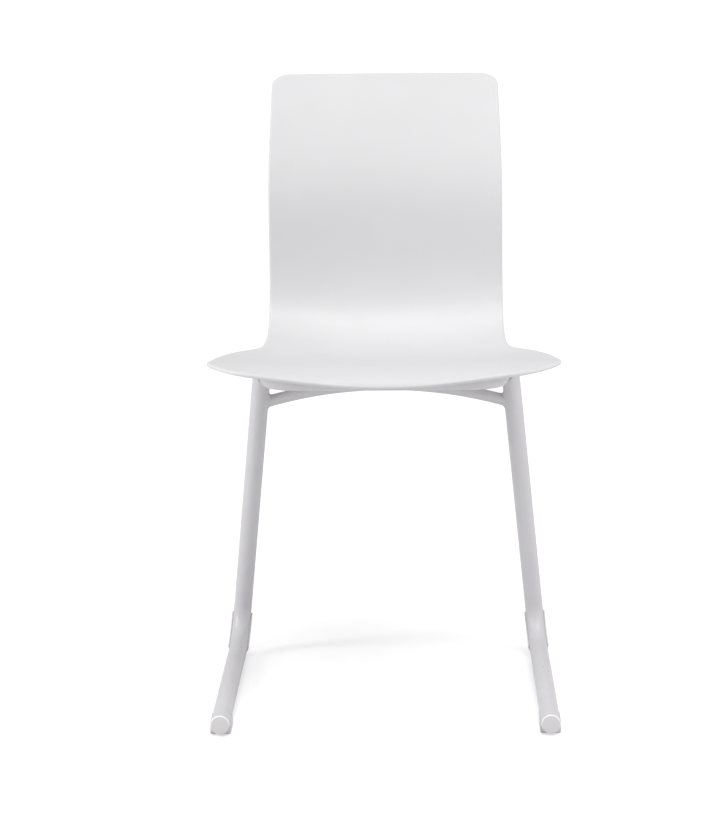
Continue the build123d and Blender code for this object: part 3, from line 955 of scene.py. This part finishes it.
def tube_tree():
    """Sweeps a round section along the edges of a mesh, scaled by the mesh's swell attribute."""
    inputs = [("Path", "NodeSocketGeometry"), ("Radius", "NodeSocketFloat"), ("Sides", "NodeSocketInt")]
    tree, w, source, sink = new_tree("bent_tube", inputs + [("Finish", "NodeSocketMaterial")])
    path = w.node("GeometryNodeMeshToCurve", {"Mesh": source["Path"]})
    swell = w.node("GeometryNodeInputNamedAttribute", {"Name": "swell"}, data_type="FLOAT")
    scaled = w.node("GeometryNodeSetCurveRadius", {"Curve": path.outputs[0], "Radius": swell.outputs[0]})
    section = {"Resolution": source["Sides"], "Radius": source["Radius"]}
    section = w.node("GeometryNodeCurvePrimitiveCircle", section)
    rails = {"Curve": scaled.outputs[0], "Profile Curve": section.outputs[0]}
    swept = w.node("GeometryNodeCurveToMesh", rails)
    close_tree(w, swept.outputs[0], source, sink)
    return tree


def scatter_tree():
    """Sets a part out on every point of a mesh."""
    inputs = [("Points", "NodeSocketGeometry"), ("Part", "NodeSocketObject")]
    tree, w, source, sink = new_tree("set_out", inputs + [("Finish", "NodeSocketMaterial")])
    part = w.node("GeometryNodeObjectInfo", {"Object": source["Part"]})
    placed = {"Points": source["Points"], "Instance": part.outputs["Geometry"]}
    placed = w.node("GeometryNodeInstanceOnPoints", placed)
    close_tree(w, placed.outputs[0], source, sink)
    return tree


def grown_mesh(source_mesh, tree, values, wall=0.0):
    """The plain mesh that a Geometry Nodes tree makes of a mesh, given a wall if asked."""
    carrier = bpy.data.objects.new("carrier", source_mesh)
    bpy.context.scene.collection.objects.link(carrier)
    modifier = carrier.modifiers.new("grow", "NODES")
    modifier.node_group = tree
    for item in tree.interface.items_tree:
        if item.item_type == "SOCKET" and item.in_out == "INPUT" and item.name in values:
            modifier[item.identifier] = values[item.name]
    if wall:
        solid = carrier.modifiers.new("wall", "SOLIDIFY")
        solid.thickness = wall
        solid.offset = -1
    depsgraph = bpy.context.evaluated_depsgraph_get()
    made = bpy.data.meshes.new_from_object(carrier.evaluated_get(depsgraph))
    bpy.data.objects.remove(carrier)
    return made


def path_mesh(points, rounded_start=False):
    """A path as a mesh of edges, with a swell attribute that rounds its first end if asked."""
    swells = [1.0] * len(points)
    if rounded_start:
        way = (points[1] - points[0]).normalized()
        lead = [points[0] + way * END_ROUND * (1 - math.cos(a)) for a in QUARTER]
        points = lead + points[1:]
        swells = [1 - END_ROUND * (1 - math.sin(a)) / TUBE_R for a in QUARTER] + swells[1:]
    mesh = bpy.data.meshes.new("path")
    mesh.from_pydata([tuple(p) for p in points], [(k, k + 1) for k in range(len(points) - 1)], [])
    swell = mesh.attributes.new("swell", "FLOAT", "POINT")
    swell.data.foreach_set("value", swells)
    return mesh


def tube(name, points, radius, wall, nodes, sides=TUBE_SIDES, rounded_start=False):
    """A hollow bent tube."""
    values = {"Radius": radius, "Sides": sides, "Finish": FRAME_PAINT}
    mesh = grown_mesh(path_mesh(points, rounded_start), TUBE_TREE, values, wall)
    return finish_piece(name, mesh, nodes, FRAME_PAINT)


def exit_distance(side_step, along, upright):
    """How far along the bar a line, stepped sideways from its end, leaves the upright's surface."""
    a = along - upright * along.dot(upright)
    b = side_step - upright * side_step.dot(upright)
    half_b = a.dot(b)
    return (-half_b + math.sqrt(half_b**2 - a.dot(a) * (b.dot(b) - TUBE_R**2))) / a.dot(a)


def weld_bead(verts, faces, side, steps=72, rows=7):
    """Adds a concave bead round one end of the arched bar, closed inside the tubes."""
    path = bar_points()
    end, inner = (path[0], path[1]) if side == "left" else (path[-1], path[-2])
    along = (inner - end).normalized()
    upright = (sided(SHOULDER, side) - sided(HEEL, side)).normalized()
    flat, rise = Vector((0, 1, 0)), along.cross(Vector((0, 1, 0))).normalized()
    start, count = len(verts), rows + 2
    for k in range(steps):
        angle = 2 * math.pi * k / steps
        way = flat * math.cos(angle) + rise * math.sin(angle)
        leg = WELD_SIDE_LEG + (WELD_LEG - WELD_SIDE_LEG) * math.sin(angle) ** 2
        root = end + way * BAR_R + along * exit_distance(way * BAR_R, along, upright)
        foot = end + way * (BAR_R + leg)
        foot += along * (exit_distance(way * (BAR_R + leg), along, upright) - WELD_SINK)
        toe = root + along * leg - way * WELD_SINK
        for t in (r / (rows - 1) for r in range(rows)):
            verts.append(toe * (1 - t) ** 2 + root * 2 * t * (1 - t) + foot * t**2)
        verts.append(foot - way * leg - along * WELD_IN_UPRIGHT)
        verts.append(root - way * WELD_IN_BAR)
    for k in range(steps):
        this, after = start + k * count, start + (k + 1) % steps * count
        for r in range(count):
            nxt = (r + 1) % count
            faces.append([this + r, after + r, after + nxt, this + nxt])


def build_frame():
    """The legs, the front cross tube, the arched bar and its weld beads."""
    for side in SIDES:
        tube(side + "_leg", leg_points(side), TUBE_R, TUBE_WALL, [side + "_leg_tube"], rounded_start=True)
    tube("front_hoop", hoop_points(), TUBE_R, TUBE_WALL, ["front_cross_tube"])
    bar = bar_points()
    # The bar's ends stop inside the uprights, short of their centre lines
    bar = [bar[0].lerp(bar[2], 0.75)] + bar[2:-2] + [bar[-1].lerp(bar[-3], 0.75)]
    tube("arched_bar", bar, BAR_R, BAR_WALL, ["arched_cross_bar"], sides=BAR_SIDES)
    verts, faces = [], []
    for side in SIDES:
        weld_bead(verts, faces, side)
    mesh_object("bar_weld_beads", verts, faces, ["cross_bar_welds"], FRAME_PAINT)


# ------------------------------------------------------------------ brackets and fasteners
def build_brackets():
    """Plates welded to the inside of the rails, each with a round end under a boss of the shell."""
    names = ["front_left", "front_right", "rear_left", "rear_right"]
    for name, (x, behind, z) in zip(names, mounting_places()):
        sign = math.copysign(1, x)
        reach = rail_point(behind).x - abs(x) - TUBE_R + PLATE_SINK
        end = arc_points(PLATE_END_R, math.pi / 2, 3 * math.pi / 2, 28)
        outline = [(reach, PLATE_END_R)] + end + [(reach, -PLATE_END_R)]
        place = Vector((x, FRONT + behind, z - PLATE_T))
        ways = (Vector((sign, 0, 0)), Vector((0, 1, 0)))
        verts, faces = [], []
        sweep_outline(verts, faces, outline, [(place, *ways), (place + Vector((0, 0, PLATE_T)), *ways)])
        nodes = [name + "_bracket"]
        mesh_object(name + "_plate", verts, faces, nodes, FRAME_PAINT, PLATE_EDGE)


class HexShape:
    """Turns a lathe's rows of one radius into hexagons."""

    def __init__(self, radius):
        self.radius = radius

    def __call__(self, angle):
        return math.cos(math.pi / 6) / math.cos(angle % (math.pi / 3) - math.pi / 6)


def scattered(name, profile, places, nodes, material, shape=None):
    """Copies of a turned part set out on points, as one piece."""
    verts, faces = [], []
    lathe(verts, faces, profile, Vector((0, 0, 0)), steps=36, shape=shape)
    part_mesh = plain_mesh(name + "_part", verts, faces)
    tidy(part_mesh)
    part = bpy.data.objects.new(name + "_part", part_mesh)
    bpy.context.scene.collection.objects.link(part)
    points = plain_mesh(name + "_points", places, [])
    mesh = grown_mesh(points, SCATTER_TREE, {"Part": part, "Finish": material})
    bpy.data.objects.remove(part)
    return finish_piece(name, mesh, nodes, material)


def screw_profile():
    """A button-head screw from its tip down to the socket in its head, with the plate's top at 0."""
    under = -PLATE_T - WASHER_T
    rows = [(0, SCREW_REACH), (SCREW_R - SCREW_TIP, SCREW_REACH), (SCREW_R, SCREW_REACH - SCREW_TIP)]
    rows += [(SCREW_R, under), (HEAD_R - HEAD_CHAMFER[0], under), (HEAD_R, under - HEAD_CHAMFER[1])]
    dome_start = under - HEAD_SIDE
    dome_r = HEAD_H - HEAD_SIDE
    rows += [(HEAD_R - dome_r * (1 - math.cos(a)), dome_start - dome_r * math.sin(a)) for a in QUARTER]
    floor = under - HEAD_H
    return rows + [(SOCKET_R, floor), (SOCKET_R, floor + SOCKET_DEPTH), (0, floor + SOCKET_DEPTH)]


def washer_profile():
    """A washer under a plate whose top is at 0."""
    top, low, edge = -PLATE_T, -PLATE_T - WASHER_T, WASHER_EDGE
    rows = [(WASHER_BORE_R, low), (WASHER_R - edge, low), (WASHER_R, low + edge)]
    return rows + [(WASHER_R, top - edge), (WASHER_R - edge, top), (WASHER_BORE_R, top), (WASHER_BORE_R, low)]


def insert_profile():
    """A threaded insert that stands on a plate's top."""
    rows = [(INSERT_BORE_R, 0), (INSERT_R - INSERT_EDGE, 0), (INSERT_R, INSERT_EDGE)]
    return rows + [(INSERT_R, INSERT_L), (INSERT_BORE_R, INSERT_L), (INSERT_BORE_R, 0)]


def countersunk_profile():
    """A countersunk screw with a recess, its head's face at 0 and its tip above."""
    rows = [(0, CSK_RECESS_DEPTH), (CSK_RECESS_R, CSK_RECESS_DEPTH), (CSK_RECESS_R, 0)]
    rows += [(CSK_HEAD_R - CSK_HEAD_EDGE, 0), (CSK_HEAD_R, CSK_HEAD_EDGE)]
    return rows + [(CSK_SHANK_R, CSK_HEAD_H), (CSK_SHANK_R, CSK_LENGTH - CSK_TIP), (0, CSK_LENGTH)]


def build_fasteners():
    """The screws, washers and inserts under the shell, and the screws in the gliders."""
    places = [Vector((x, FRONT + behind, z)) for x, behind, z in mounting_places()]
    hexagon = HexShape(SOCKET_R)
    scattered("shell_screw_set", screw_profile(), places, ["shell_screws"], ZINC, hexagon)
    scattered("washer_set", washer_profile(), places, ["shell_screw_washers"], ZINC)
    scattered("insert_set", insert_profile(), places, ["threaded_inserts"], BRASS)
    feet = []
    for sign in SIDES.values():
        feet += [Vector((RUNNER.x * sign, FRONT + behind, CSK_SINK)) for behind in GLIDER_SCREWS]
    hexagon = HexShape(CSK_RECESS_R)
    scattered("glider_screw_set", countersunk_profile(), feet, ["glider_screws"], ZINC, hexagon)


# ------------------------------------------------------------------ gliders, caps and buffers
def screw_hole(x, y):
    """The cutter for a countersunk hole from below, which starts a little under the floor."""
    verts, faces = [], []
    mouth = CSK_HEAD_R + FIT
    shank = CSK_SHANK_R + FIT
    rows = [(0, -1 * MM), (mouth, -1 * MM), (mouth, CSK_SINK)]
    rows += [(shank, CSK_SINK + CSK_HEAD_H), (shank, CSK_HOLE_TOP), (0, CSK_HOLE_TOP)]
    lathe(verts, faces, rows, Vector((x, y, 0)), steps=32)
    return plain_mesh("hole", verts, faces)


def build_front_glider(side):
    """A block under the runner's front end, hollowed to the tube and chamfered at the floor."""
    half = GLIDER_WIDTH / 2
    bed = TUBE_R + FIT
    lip = math.asin((RUNNER.z - GLIDER_HEIGHT) / bed)  # negative: the block reaches past the widest line
    outline = [(half, GLIDER_HEIGHT), (half, GLIDER_CHAMFER), (half - GLIDER_CHAMFER, 0)]
    outline += [(GLIDER_CHAMFER - half, 0), (-half, GLIDER_CHAMFER), (-half, GLIDER_HEIGHT)]
    outline += arc_points(bed, math.pi + lip, 2 * math.pi - lip, 40, (0, RUNNER.z))
    start = Vector((RUNNER.x * SIDES[side], FRONT + GLIDER_SETBACK, 0))
    ways = (Vector((1, 0, 0)), Vector((0, 0, 1)))
    verts, faces = [], []
    sweep_outline(verts, faces, outline, [(start, *ways), (start + Vector((0, GLIDER_LENGTH, 0)), *ways)])
    hole = screw_hole(start.x, FRONT + GLIDER_SCREWS[0])
    nodes = [side + "_front_glider"]
    name = side + "_front_foot"
    mesh_object(name, verts, faces, nodes, GLIDER_PLASTIC, GLIDER_EDGE, [hole])


def heel_shoe(side):
    """The mesh of the clip round the outside of the heel bend."""
    heel, shoulder = sided(HEEL, side), sided(SHOULDER, side)
    came, goes = Vector((0, 1, 0)), (shoulder - heel).normalized()
    turn = came.angle(goes)
    inward = (goes - came * goes.dot(came)).normalized()
    centre = heel - came * HEEL_BEND_R * math.tan(turn / 2) + inward * HEEL_BEND_R
    stations = []
    for k in range(SHOE_STEPS + 1):
        angle = turn * (SHOE_WRAP[0] + (SHOE_WRAP[1] - SHOE_WRAP[0]) * k / SHOE_STEPS)
        outward = came * math.sin(angle) - inward * math.cos(angle)
        along = came * math.cos(angle) + inward * math.sin(angle)
        stations.append((centre + outward * HEEL_BEND_R, outward, along.cross(outward)))
    verts, faces = [], []
    sweep_outline(verts, faces, clip_section(SHOE_R, TUBE_R + FIT, SHOE_LIP), stations)
    return rounded(plain_mesh("shoe", verts, faces), SHOE_EDGE)


def heel_sole(side):
    """The mesh of the round-cornered sole under the shoe, hollowed to the runner."""
    x = RUNNER.x * SIDES[side]
    half_w, half_l = SOLE_WIDTH / 2 - SOLE_CORNER_R, SOLE_LENGTH / 2 - SOLE_CORNER_R
    outline = []
    centres = [(half_w, half_l), (-half_w, half_l), (-half_w, -half_l), (half_w, -half_l)]
    for quarter, centre in enumerate(centres):
        outline += arc_points(SOLE_CORNER_R, quarter * math.pi / 2, (quarter + 1) * math.pi / 2, 8, centre)
    low = Vector((x, HEEL.y + SOLE_START + SOLE_LENGTH / 2, 0))
    ways = (Vector((1, 0, 0)), Vector((0, 1, 0)))
    verts, faces = [], []
    sweep_outline(verts, faces, outline, [(low, *ways), (low + Vector((0, 0, SOLE_HEIGHT)), *ways)])
    core, core_faces = [], []
    bed = arc_points(TUBE_R + FIT, 0, 2 * math.pi * (BED_SIDES - 1) / BED_SIDES, BED_SIDES - 1)
    ends = [Vector((x, HEEL.y - BED_LENGTH, RUNNER.z)), Vector((x, HEEL.y, RUNNER.z))]
    sweep_outline(core, core_faces, bed, [(end, Vector((1, 0, 0)), Vector((0, 0, 1))) for end in ends])
    cutters = [plain_mesh("bed", core, core_faces), screw_hole(x, FRONT + GLIDER_SCREWS[1])]
    return rounded(plain_mesh("sole", verts, faces), SOLE_EDGE, cutters)


def build_heel_glider(side):
    """A shoe round the outside of the heel bend, on a flat sole."""
    joined = bmesh.new()
    joined.from_mesh(heel_sole(side))
    joined.from_mesh(heel_shoe(side))
    mesh = bpy.data.meshes.new("heel")
    joined.to_mesh(mesh)
    joined.free()
    finish_piece(side + "_heel_shoe", mesh, [side + "_heel_glider"], GLIDER_PLASTIC)


def build_end_cap(side):
    """A ribbed plug in the runner's open end, its flat head with a soft edge and a shallow gate mark."""
    rib_r = BORE_R - FIT / 2
    rows = list(GATE_MARK)
    rows += [(CAP_HEAD_R - CAP_EDGE_R * (1 - math.sin(a)), CAP_EDGE_R * (1 - math.cos(a))) for a in QUARTER]
    rows += [(CAP_HEAD_R, CAP_HEAD_T), (CAP_STEM_R, CAP_HEAD_T)]
    for k in range(CAP_RIBS):
        rib = CAP_HEAD_T + CAP_RIB_PITCH * (k + 1)
        rows += [(CAP_STEM_R, rib), (rib_r, rib), (rib_r, rib + CAP_RIB_T), (CAP_STEM_R, rib + CAP_RIB_T)]
    rows += [(CAP_STEM_R, CAP_HEAD_T + CAP_LENGTH), (0, CAP_HEAD_T + CAP_LENGTH)]
    verts, faces = [], []
    lathe(verts, faces, rows, Vector((RUNNER.x * SIDES[side], FRONT, RUNNER.z)), axis="Y", steps=56)
    mesh_object(side + "_plug", verts, faces, [side + "_end_cap"], CAP_PLASTIC)


def build_stack_buffer(side):
    """A clip-on pad round the lower part of the rail."""
    start = sided(rail_point(BUFFER_Y - BUFFER_L / 2), side)
    along = (sided(SHOULDER, side) - start).normalized()
    down = (Vector((0, 0, -1)) + along * along.z).normalized()
    section = clip_section(BUFFER_R, TUBE_R + FIT, BUFFER_LIP)
    stations = [(start + along * BUFFER_L * k, down, along.cross(down)) for k in (0, 1)]
    verts, faces = [], []
    sweep_outline(verts, faces, section, stations)
    nodes = [side + "_stack_buffer"]
    mesh_object(side + "_buffer_pad", verts, faces, nodes, BUFFER_PLASTIC, BUFFER_EDGE)


# ------------------------------------------------------------------ stage
def build_camera():
    """A long lens, a little above the seat, looking slightly down and across."""
    data = bpy.data.cameras.new("camera")
    data.lens = LENS
    data.clip_end = FAR_CLIP
    camera = bpy.data.objects.new("camera", data)
    bpy.context.scene.collection.objects.link(camera)
    aim = Matrix.Rotation(LENS_ACROSS, 4, "Z") @ Matrix.Rotation(math.pi / 2 - LENS_DOWN, 4, "X")
    camera.matrix_world = Matrix.Translation(LENS_PLACE) @ aim @ Matrix.Rotation(-LENS_ROLL, 4, "Z")
    bpy.context.scene.camera = camera


def add_light(kind, name, towards, strength, **settings):
    """A light whose rays run along towards."""
    data = bpy.data.lights.new(name, kind)
    data.energy = strength
    for key, value in settings.items():
        setattr(data, key, value)
    light = bpy.data.objects.new(name, data)
    light.rotation_mode = "QUATERNION"
    light.rotation_quaternion = Vector(towards).to_track_quat("-Z", "Y")
    bpy.context.scene.collection.objects.link(light)
    return light


def build_stage():
    """A wide pale floor, an even white surround and large soft lights."""
    corners = [(FLOOR_HALF * x, FLOOR_HALF * y, 0) for x, y in ((-1, -1), (1, -1), (1, 1), (-1, 1))]
    mesh = plain_mesh("floor", corners, [(0, 1, 2, 3)])
    mesh.materials.append(floor_paint())
    floor = bpy.data.objects.new("floor", mesh)
    bpy.context.scene.collection.objects.link(floor)
    world = bpy.data.worlds.new("surround")
    bpy.context.scene.world = world
    world.use_nodes = True
    background = world.node_tree.nodes["Background"]
    background.inputs["Color"].default_value = SURROUND_COLOUR
    w = Wiring(world.node_tree)
    seen = w.node("ShaderNodeLightPath").outputs["Is Camera Ray"]
    world.node_tree.links.new(w.spread(seen, 0, 1, SURROUND, BACKDROP), background.inputs["Strength"])
    add_light("SUN", "overhead_softbox", OVERHEAD_WAY, OVERHEAD, angle=OVERHEAD_SPREAD)
    for name, (place, power) in PANELS.items():
        panel = {"shape": "RECTANGLE", "size": PANEL_SIZE[0], "size_y": PANEL_SIZE[1]}
        light = add_light("AREA", name, PANEL_AIM - Vector(place), power, **panel)
        light.location = place
    bpy.context.scene.view_settings.view_transform = "Standard"


# ------------------------------------------------------------------ the chair
TUBE_TREE = tube_tree()
SCATTER_TREE = scatter_tree()
build_shell()
build_frame()
build_brackets()
build_fasteners()
for side_name in SIDES:
    build_front_glider(side_name)
    build_heel_glider(side_name)
    build_end_cap(side_name)
    build_stack_buffer(side_name)
build_stage()
build_camera()
